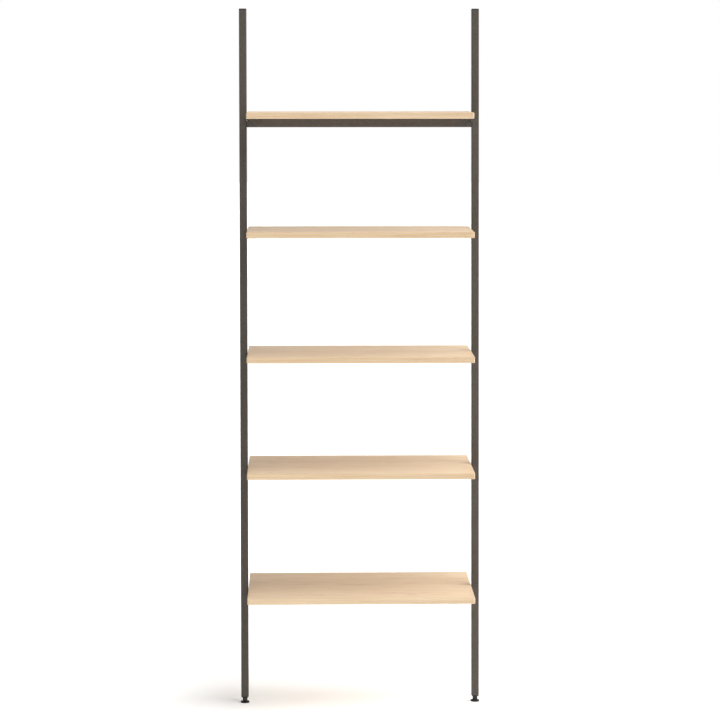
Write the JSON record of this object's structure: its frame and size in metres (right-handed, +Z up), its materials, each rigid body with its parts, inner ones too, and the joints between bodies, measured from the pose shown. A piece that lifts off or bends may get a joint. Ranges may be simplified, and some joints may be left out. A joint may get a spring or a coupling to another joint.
{
  "type": "ladder shelf",
  "caption": "Leaning ladder shelf: square-tube rails on levelling feet, wooden boards of stepped depth on welded arms, a cross bar and wall fixings.",
  "frame": {"origin": "on the floor, under the middle of the bottom board, which is the middle of the whole footprint", "axes": "+Z up, +X to the right as seen from the room, +Y towards the wall at the back"},
  "size_m": [0.644, 0.34, 1.855],
  "materials": {
    "powder_coat": "satin fine-textured powder coat, warm dark grey",
    "light_wood": "matt clear lacquer over light straight-grained wood",
    "black_plastic": "matt moulded plastic",
    "zinc": "bright zinc plate",
    "black_screw": "black phosphate, slightly oily"
  },
  "bodies": {
    "frame": {"left_rail": "powder_coat", "right_rail": "powder_coat", "cross_bar": "powder_coat", "left_spigot": "powder_coat", "right_spigot": "powder_coat", "left_cap": "black_plastic", "right_cap": "black_plastic", "left_plug": "black_plastic", "right_plug": "black_plastic", "left_wall_angle": "zinc", "right_wall_angle": "zinc", "wall_angle_screws": "zinc", "spigot_bolts": "black_screw", "cross_bar_screws": "black_screw", "bottom_board": "light_wood", "bottom_left_arm": "powder_coat", "bottom_right_arm": "powder_coat", "bottom_screws": "black_screw", "lower_board": "light_wood", "lower_left_arm": "powder_coat", "lower_right_arm": "powder_coat", "lower_screws": "black_screw", "middle_board": "light_wood", "middle_left_arm": "powder_coat", "middle_right_arm": "powder_coat", "middle_screws": "black_screw", "upper_board": "light_wood", "upper_left_arm": "powder_coat", "upper_right_arm": "powder_coat", "upper_screws": "black_screw", "top_board": "light_wood", "top_left_arm": "powder_coat", "top_right_arm": "powder_coat", "top_screws": "black_screw"},
    "left_foot_pad": {"left_pad": "black_plastic"},
    "left_foot_stem": {"left_stem": "black_screw"},
    "right_foot_pad": {"right_pad": "black_plastic"},
    "right_foot_stem": {"right_stem": "black_screw"}
  },
  "joints": [
    {"name": "left_foot_height", "type": "slide", "parent": "frame", "child": "left_foot_pad", "axis": [0, -0.0732, -0.9973], "range_m": [-0.0013, 0.0076]},
    {"name": "left_foot_turn", "type": "hinge", "parent": "left_foot_pad", "child": "left_foot_stem", "pos_m": [-0.31, -0.02113, 0.00499], "axis": [0, -0.0732, -0.9973], "range_deg": [-360, 2160]},
    {"name": "right_foot_height", "type": "slide", "parent": "frame", "child": "right_foot_pad", "axis": [0, -0.0732, -0.9973], "range_m": [-0.0013, 0.0076]},
    {"name": "right_foot_turn", "type": "hinge", "parent": "right_foot_pad", "child": "right_foot_stem", "pos_m": [0.31, -0.02113, 0.00499], "axis": [0, -0.0732, -0.9973], "range_deg": [-360, 2160]}
  ],
  "couplings": [
    {"joint": "left_foot_height", "follows": "left_foot_turn", "m_per_rad": 0.00019894},
    {"joint": "right_foot_height", "follows": "right_foot_turn", "m_per_rad": 0.00019894}
  ]
}
